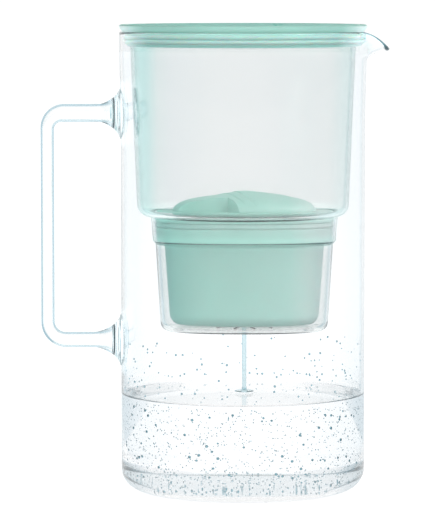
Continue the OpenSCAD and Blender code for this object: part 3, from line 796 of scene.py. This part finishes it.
def make_shell(material):
    """The cartridge's case: a tapering oval tub with a wider band at its top."""
    gap = 0.6
    band = cup_bore(SHELL_SHOULDER) - gap
    low = band - 4.0
    foot = low - 3.1
    groove = SHELL_TOP - 5.5
    groove_h, groove_d = 3, 0.8
    wall = 1.5
    corner = 8.0

    def outside(z):
        return cup_bore(z) - gap

    outer = [(SHELL_BOTTOM, 4.0, 3.0), (SHELL_BOTTOM, 24.0, 9.0)]
    outer += oval_rings([(z, a) for a, z in arc(foot - corner, SHELL_BOTTOM + corner, corner, -90, 0, 8)])
    outer += oval_rings([(SHELL_SHOULDER - 0.05, low), (SHELL_SHOULDER, band)])
    outer += oval_rings([(groove, outside(groove)), (groove, outside(groove) - groove_d),
                         (groove + groove_h, outside(groove + groove_h) - groove_d),
                         (groove + groove_h, outside(groove + groove_h)),
                         (SHELL_TOP, outside(SHELL_TOP))])
    inner = oval_rings([(SHELL_TOP, outside(SHELL_TOP) - wall), (SHELL_SHOULDER + wall, band - wall),
                        (SHELL_SHOULDER + wall - 0.05, low - wall)])
    inner_corner = arc(foot - corner, SHELL_BOTTOM + corner, corner - wall, 0, -90, 6)
    inner += oval_rings([(z, a) for a, z in inner_corner])
    inner += [(SHELL_BOTTOM + wall, 24.0, 9.0), (SHELL_BOTTOM + wall, 4.0, 3.0)]
    bm, first, last = grow_rings(outer + inner, round_or_oval, 192)
    close_ring(bm, first)
    close_ring(bm, last)
    bmesh.ops.recalc_face_normals(bm, faces=bm.faces)
    soften(bm, 0.5, 40, 3)
    return finish_piece("cartridge_case", bm, material, "cartridge", "mint_shell", ("cartridge_shell",))


def across_grip(x, y):
    """Distance from the cap's middle, square to the turned grip bar."""
    return x * math.cos(GRIP_TURN) + y * math.sin(GRIP_TURN)


def step_at(edge, half, x):
    """From 0 to 1 over the slope that reaches half to each side of an edge."""
    start, end = edge - half, edge + half
    return max(0.0, min(1.0, (x - start) / (end - start)))


def cap_height(x, y):
    """Height of the cap's top over its rim: a low dome with the grip bar, one step down on the bar's
    right and two on its left, and a finger recess in each of two opposite flanks."""
    f = ((abs(x) / DOME_A) ** OVAL_POWER + (abs(y) / DOME_B) ** OVAL_POWER) ** (1 / OVAL_POWER)
    dome = (1 - 0.45 * min(1.0, f) ** 1.25) * max(0.0, 1 - f ** 9) ** 0.45
    u = across_grip(x, y)
    steps = sum(1 - step_at(edge, GRIP_SLOPE, u) for edge in GRIP_STEPS_LEFT)
    steps += step_at(GRIP_STEP_RIGHT, GRIP_SLOPE, u)
    height = dome * (DOME_H - GRIP_STEP_H * steps)
    in_recess = max(
        step_at(RECESS_Y, RECESS_SLOPE, side * y) * step_at(RECESS_EDGE, RECESS_SLOPE, side * u)
        for side in (-1, 1))
    return height + in_recess * (min(height, GRIP_STEP_H) - height)


def cut_across(bm, distance, angle):
    """Adds edges along an upright plane through everything above the cap's rim."""
    away = Vector((math.cos(angle), math.sin(angle), 0))
    faces = [f for f in bm.faces if f.calc_center_median().z > CAP_RIM_TOP - 0.01]
    geom = list({v for f in faces for v in f.verts}) + list({e for f in faces for e in f.edges}) + faces
    place = away * distance + Vector((CUP_SHIFT, 0, 0))
    bmesh.ops.bisect_plane(bm, geom=geom, dist=0.0001, plane_co=place, plane_no=away)


def make_cap(material):
    """Rim, then the dome as rings that shrink to the middle, cut along its steps and lifted."""
    segments, rings = 240, 56
    rim_a = cup_bore(SHELL_TOP) - 1.4
    sections = oval_rings([(CAP_Z, 8.0 + OVAL_DIFF), (CAP_Z, rim_a - 0.3), (CAP_Z + 0.3, rim_a),
                           (CAP_RIM_TOP - 0.6, rim_a), (CAP_RIM_TOP - 0.2, rim_a - 0.2),
                           (CAP_RIM_TOP, rim_a - 0.6)])
    sections += [(CAP_RIM_TOP, DOME_A + 1.0, DOME_B + 1.0)]
    shrink = [math.sin(math.pi / 2 * k / rings) for k in range(rings, 0, -1)]
    sections += [(CAP_RIM_TOP, DOME_A * f, DOME_B * f) for f in shrink]
    bm, first, last = grow_rings(sections, round_or_oval, segments)
    close_ring(bm, first)
    close_ring(bm, last)
    for edge in (*GRIP_STEPS_LEFT, GRIP_STEP_RIGHT):
        for d in (edge - GRIP_SLOPE, edge + GRIP_SLOPE):
            cut_across(bm, d, GRIP_TURN)
    for side in (-1, 1):
        for d in (-RECESS_SLOPE, RECESS_SLOPE):
            cut_across(bm, side * RECESS_EDGE + d, GRIP_TURN)
            cut_across(bm, side * RECESS_Y + d, math.pi / 2)
    for v in bm.verts:
        if v.co.z > CAP_RIM_TOP - 0.01:
            v.co.z += cap_height(v.co.x - CUP_SHIFT, v.co.y)
    return finish_piece("cartridge_grip_cap", bm, material, "cartridge", "mint_shell",
                        ("cartridge_cap",), sharp=30)


# ---- Collar and seal ----

def make_collar(material):
    """The ring that hangs in the jug's mouth, with its flange and the groove for the seal."""
    plug, back = 68.7, 66.75
    profile = [
        (64.75, 254.5), (65.95, 254.5), (back - 0.3, 255.7), (plug - 1.2, 255.7),
        (plug - 1.2, 256.0), (back, 256.0), (back, 261.4), (plug, 261.4), (plug, 262.3),
        (70.6, 264.75), (70.8, 265.45), (70.8, 266.05), (70.1, 266.75), (67.05, 266.75),
        (67.05, 261.5), (64.75, 261.5), (64.75, 254.5),
    ]
    bm = spin_profile(profile, 256)
    bmesh.ops.recalc_face_normals(bm, faces=bm.faces)
    soften(bm, 0.12, 25)
    return finish_piece("collar", bm, material, "funnel", "mint_plastic", ("lid_collar",))


def make_seal(material):
    """The silicone band with two rounded ribs."""
    back, band, out = 66.8, 67.7, 0.8
    foot, pitch = 256.05, 2.65
    profile = [(back, foot)]
    for rib in range(2):
        profile += [(band + out * math.sin(math.pi * i / 12), foot + pitch * (rib + i / 12))
                    for i in range(13 if rib else 12)]
    profile += [(back, foot + 2 * pitch), (back, foot)]
    bm = spin_profile(profile, 256)
    return finish_piece("ribbed_seal", bm, material, "funnel", "mint_silicone", ("collar_seal",))


# ---- Water, which isn't part of the object ----

def water_material(name, tint):
    material, _, _, shader = new_material(name)
    set_inputs(shader, Transmission_Weight=1.0, IOR=1.33, Roughness=0.0)
    # For the stream and the drops this colour is painted shade, darker and cooler than water.
    shader.inputs["Base Color"].default_value = solid(tint)
    absorb(material, (0.60, 0.72, 0.80), 0.7)
    return material


def make_water(material):
    """The filtered water, with a meniscus at the glass and ripples round the stream."""
    sunk = 0.05
    bore = JUG_R - GLASS_WALL + sunk
    inner_heel = HEEL_R - GLASS_WALL
    profile = [(0, GLASS_FLOOR - sunk)]
    profile += arc(bore - inner_heel, GLASS_FLOOR - sunk + inner_heel, inner_heel, -90, 0, 12)
    profile += [(bore, WATER_Z + MENISCUS)]
    profile += [(bore - 0.3 * i ** 1.5, WATER_Z + MENISCUS * math.exp(-0.9 * i)) for i in range(1, 7)]
    ripples = [17 - 0.5 * i for i in range(31)]
    profile += [(r, WATER_Z + 0.45 * math.cos(1.5 * (r - 2)) * math.exp(-r / 6.0)) for r in ripples]
    profile += [(1.4, WATER_Z + 0.5), (0, WATER_Z + 0.5)]
    bm = spin_profile(profile, 192)
    return finish_stage("water", bm, material, sharp=70)


def make_stream(material):
    """The thin stream, which spreads into a dimpled ring where it meets the water."""
    low, high = WATER_Z + 0.75, CUP_BOTTOM + 1.0
    profile = [(0, low - 0.1), (4.0, low - 0.1), (5.2, low + 0.1), (5.5, low + 0.5), (5.0, low + 0.8),
               (3.6, low + 0.5), (2.0, low + 0.5), (STREAM_R + 0.2, low + 1.6), (STREAM_R, low + 3.5),
               (STREAM_R * 1.1, high), (0, high)]
    bm = spin_profile(profile, 48)
    bmesh.ops.translate(bm, verts=bm.verts, vec=(CUP_SHIFT, 0, 0))
    return finish_stage("stream", bm, material)


def bead(subdivisions, flatten):
    """One bubble or drop of radius 1, as a mesh to be set down many times."""
    bm = bmesh.new()
    bmesh.ops.create_icosphere(bm, subdivisions=subdivisions, radius=1.0)
    bmesh.ops.scale(bm, verts=bm.verts, vec=(1, flatten, 1))
    mesh = bpy.data.meshes.new("bead")
    bm.to_mesh(mesh)
    bm.free()
    return mesh


def set_down(bm, mesh, size, angle, radius, z):
    """Adds a bead against the glass at an angle round the jug, its flat side to the wall."""
    count = len(bm.verts)
    bm.from_mesh(mesh)
    bm.verts.ensure_lookup_table()
    turn = Matrix.Rotation(angle + math.pi / 2, 3, "Z")
    place = Vector((radius * math.cos(angle), radius * math.sin(angle), z))
    for v in bm.verts[count:]:
        v.co = turn @ (v.co * size) + place


def bore_at(z):
    """Radius of the jug's bore at a height, in its rounded bottom corner too."""
    heel = HEEL_R - GLASS_WALL
    depth = max(0.0, GLASS_FLOOR + heel - z)
    return JUG_R - GLASS_WALL - heel + math.sqrt(max(0.0, heel * heel - depth * depth))


def make_bubbles(material):
    """Air bubbles that cling to the glass under water, many of them tiny, and some on the floor."""
    rng = random.Random(7)
    bm = bmesh.new()
    tiny, large = bead(1, 0.8), bead(2, 0.7)
    for _ in range(1500):
        size = rng.uniform(0.25, 0.50)
        z = rng.uniform(GLASS_FLOOR + 1.5, WATER_Z - 1.0)
        set_down(bm, tiny, size, rng.uniform(-math.pi, 0.3), bore_at(z) - 0.8 * size - 0.05, z)
    for _ in range(85):
        size = rng.uniform(0.65, 1.0)
        z = rng.uniform(GLASS_FLOOR + 3, WATER_Z - 2.0)
        set_down(bm, large, size, rng.uniform(-math.pi, 0), bore_at(z) - 0.7 * size - 0.05, z)
    for _ in range(160):
        size = rng.uniform(0.25, 0.7)
        reach = (JUG_R - HEEL_R) * math.sqrt(rng.random())
        set_down(bm, tiny, size, rng.uniform(0, 2 * math.pi), reach, GLASS_FLOOR + size + 0.1)
    return finish_stage("bubbles", bm, material, sharp=80, recalc=False)


def make_drops(material):
    """Drops that cling to the glass over the waterline."""
    rng = random.Random(11)
    bm = bmesh.new()
    drop = bead(2, 0.55)
    for _ in range(170):
        size = rng.uniform(0.22, 0.72)
        z = WATER_Z + 3 + 26 * rng.random() ** 1.8
        set_down(bm, drop, size, rng.uniform(0, 2 * math.pi), JUG_R - GLASS_WALL - 0.45 * size, z)
    return finish_stage("drops", bm, material, sharp=80, recalc=False)


def bubble_material():
    """A bubble bends light the other way round, as air does in water. Its dark teal colour is painted shade.
    """
    material, _, _, shader = new_material("air bubble")
    set_inputs(shader, Transmission_Weight=1.0, IOR=0.75, Roughness=0.0)
    shader.inputs["Base Color"].default_value = solid((0.14, 0.34, 0.41))
    return material


# ---- Studio ----

def floor_glow(nodes, links, x, y, reach):
    """What the floor shows to light that has passed through glass: white in a wedge behind the pitcher,
    cooler and darker by its bearing from the jug's axis, most of all close to the jug."""
    ahead = maths(nodes, links, "MAXIMUM", maths(nodes, links, "ADD", y, -WEDGE_TIP[1]), 0.01)
    slant = maths(nodes, links, "DIVIDE", maths(nodes, links, "ADD", x, -WEDGE_TIP[0]), ahead)
    wedge = signed_ramp(nodes, links, slant, 0.5, [(-0.078, 0), (-0.069, 1), (0.069, 1), (0.078, 0)])
    beside = map_range(nodes, links, y, From_Min=-0.5, From_Max=-0.3)
    wedge = mix_colours(nodes, links, "MIX", beside, 0, wedge)

    bearing = maths(nodes, links, "MULTIPLY", maths(nodes, links, "ARCTAN2", x, y), 180 / math.pi)
    cool = (0.50, 0.60, 0.65)
    far = signed_ramp(nodes, links, bearing, 180, [
        (-150, (0.80, 0.84, 0.86)), (-110, cool), (-65, cool), (-45, (0.70, 0.76, 0.79)),
        (-30, (0.90, 0.92, 0.93)), (-20, 1), (17, 1), (28, (0.86, 0.89, 0.91)),
        (45, (0.64, 0.71, 0.75)), (65, (0.48, 0.59, 0.64)), (110, cool), (150, (0.80, 0.84, 0.86))])
    dark, dim = (0.24, 0.38, 0.44), (0.75, 0.80, 0.82)
    near = signed_ramp(nodes, links, bearing, 180, [
        (-140, dim), (-90, dark), (-50, (0.52, 0.61, 0.66)), (-37, (0.66, 0.72, 0.76)),
        (-27, (0.80, 0.84, 0.86)), (-21, (0.88, 0.90, 0.91)), (-17, 1), (17, 1),
        (21, (0.90, 0.92, 0.93)), (27, (0.84, 0.87, 0.89)), (37, (0.72, 0.77, 0.80)),
        (50, (0.56, 0.65, 0.69)), (90, dark), (140, dim)])
    closeness = map_range(nodes, links, reach, From_Min=0.5, From_Max=1.0, To_Min=1.0, To_Max=0.0)
    around = mix_colours(nodes, links, "MIX", closeness, far, near)
    return mix_colours(nodes, links, "LIGHTEN", 1.0, wedge, around)


def make_floor():
    """A glowing floor, plain white where it is seen directly, with a soft contact shade under the jug."""
    bm = bmesh.new()
    bmesh.ops.create_circle(bm, cap_ends=True, radius=12000, segments=96)
    bmesh.ops.translate(bm, verts=bm.verts, vec=(0, 0, 0.02))
    material, nodes, links, shader = new_material("white studio floor")
    set_inputs(shader, Base_Color=solid(0.1), Roughness=0.9)
    position = object_position(nodes)
    x, y, _ = split_axes(nodes, links, position)
    reach = vector_maths(nodes, links, "LENGTH", position)
    glow = floor_glow(nodes, links, x, y, reach)
    direct = nodes.new("ShaderNodeLightPath").outputs["Is Camera Ray"]
    links.new(mix_colours(nodes, links, "MIX", direct, glow, 1), shader.inputs["Emission Color"])
    contact = map_range(nodes, links, reach, From_Min=0.060, From_Max=0.071, To_Min=0.84, To_Max=1.02)
    links.new(contact, shader.inputs["Emission Strength"])
    finish_stage("floor", bm, material, recalc=False)


def area_light(name, place, aim, size, watts):
    data = bpy.data.lights.new(name, "AREA")
    data.shape = "RECTANGLE"
    data.size, data.size_y = size
    data.energy = watts
    light = bpy.data.objects.new(name, data)
    light.location = place
    light.rotation_euler = (Vector(aim) - Vector(place)).to_track_quat("-Z", "Y").to_euler()
    light.visible_transmission = False
    scene.collection.objects.link(light)
    return light


def make_world():
    """Plain white where it is seen directly. Light that has passed through glass meets white at the back and
    a cool grey at the sides. The world lights no matt surface."""
    world = bpy.data.worlds.new("studio")
    scene.world = world
    world.use_nodes = True
    world.cycles_visibility.diffuse = False
    nodes, links = world.node_tree.nodes, world.node_tree.links
    _, y, z = split_axes(nodes, links, nodes.new("ShaderNodeTexCoord").outputs["Generated"])
    towards_back = map_range(nodes, links, y, From_Min=-1.0, From_Max=1.0)
    sides = colour_ramp(nodes, links, towards_back, [
        (0.0, (0.42, 0.55, 0.60)), (0.50, (0.14, 0.32, 0.40)), (0.75, (0.36, 0.48, 0.53)),
        (0.90, (0.80, 0.85, 0.88)), (0.94, BACKDROP), (1.0, BACKDROP)])
    above = map_range(nodes, links, z, smooth=True, From_Min=0.30, From_Max=0.75)
    sky = mix_colours(nodes, links, "MIX", above, sides, (0.80, 0.87, 0.90))
    direct = nodes.new("ShaderNodeLightPath").outputs["Is Camera Ray"]
    sky = mix_colours(nodes, links, "MIX", direct, sky, BACKDROP)
    links.new(sky, nodes["Background"].inputs["Color"])
    nodes["Background"].inputs["Strength"].default_value = 1.0


def make_camera():
    data = bpy.data.cameras.new("camera")
    data.sensor_width = 36
    data.sensor_fit = "AUTO"
    data.lens = CAMERA_LENS
    data.clip_end = 100
    camera = bpy.data.objects.new("camera", data)
    camera.location = CAMERA_AT
    camera.rotation_euler = (math.radians(90 - CAMERA_TILT), 0, 0)
    scene.collection.objects.link(camera)
    scene.camera = camera


# ---- Everything together ----

make_camera()

hopper_plastic = clear_plastic()
# The collar's plastic is the lid's set lighter, and the cap's is the case's set darker: painted light and
# painted shade.
mint_lid = mint_plastic("mint lid plastic", (0.30, 0.72, 0.62), 0.5, 0.15, shine=0.05)
mint_collar_painted_lighter = mint_plastic("mint collar plastic", (0.47, 0.80, 0.70), 0.5, 0.15, painted_lit_rim=True, shine=0.05)
mint_case = mint_plastic("mint cartridge plastic", (0.39, 0.75, 0.64), 0.42, 0.25, painted_right_sheen=True)
mint_cap_painted_darker = mint_plastic("mint cap plastic", (0.305, 0.58, 0.495), 0.42, 0.25, painted_right_sheen=True)
soft_mint = mint_plastic("soft mint lip", (0.36, 0.66, 0.575), 0.6, 0.1, painted_right_sheen=True)
screen = woven_screen()

let_light_in(
    make_glass(clear_glass()),
    make_hopper(hopper_plastic),
    make_floor_ribs(hopper_plastic),
    make_collar(mint_collar_painted_lighter),
    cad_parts["lid_plate"],
    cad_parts["flip_flap"],
)
make_seal(silicone())
make_shell(mint_case)
make_cap(mint_cap_painted_darker)

for node, material in (
    ("lid_plate", mint_lid),
    ("flip_flap", mint_lid),
    ("hinge_pin", steel()),
    ("cartridge_seal", soft_mint),
    ("top_screen", screen),
    ("bottom_screen", screen),
    ("felt_divider", needled_felt()),
    ("carbon_bed", granules("black carbon granules", (0.01, 0.01, 0.01), (0.07, 0.07, 0.07), 0.0012, 0.75)),
    ("resin_bed", granules("amber resin beads", (0.45, 0.30, 0.10), (0.75, 0.58, 0.28), 0.0008, 0.3)),
):
    dress_node(node, material)

let_light_in(
    # The stream's and the drops' colours are painted shade; the water's is near white.
    make_water(water_material("water", (0.985, 0.975, 0.975))),
    make_stream(water_material("falling water", (0.62, 0.77, 0.81))),
    make_bubbles(bubble_material()),
    make_drops(water_material("water drops", (0.30, 0.50, 0.57))),
)

make_world()
make_floor()
area_light("softbox overhead", (0.1, -0.4, 1.7), (0, 0, 0.12), (1.6, 1.2), 4)
area_light("softbox right", (1.5, -1.1, 1.2), (0, 0, 0.18), (0.9, 1.0), 16.5)
area_light("softbox left", (-1.1, -1.4, 1.4), (0, 0, 0.18), (1.0, 1.0), 14)
area_light("softbox behind", (0.3, 1.6, 1.3), (0, 0, 0.18), (1.2, 1.0), 7).visible_glossy = False
scene.view_settings.view_transform = "Standard"
scene.cycles.max_bounces = 48
scene.cycles.transmission_bounces = 48
scene.cycles.transparent_max_bounces = 16
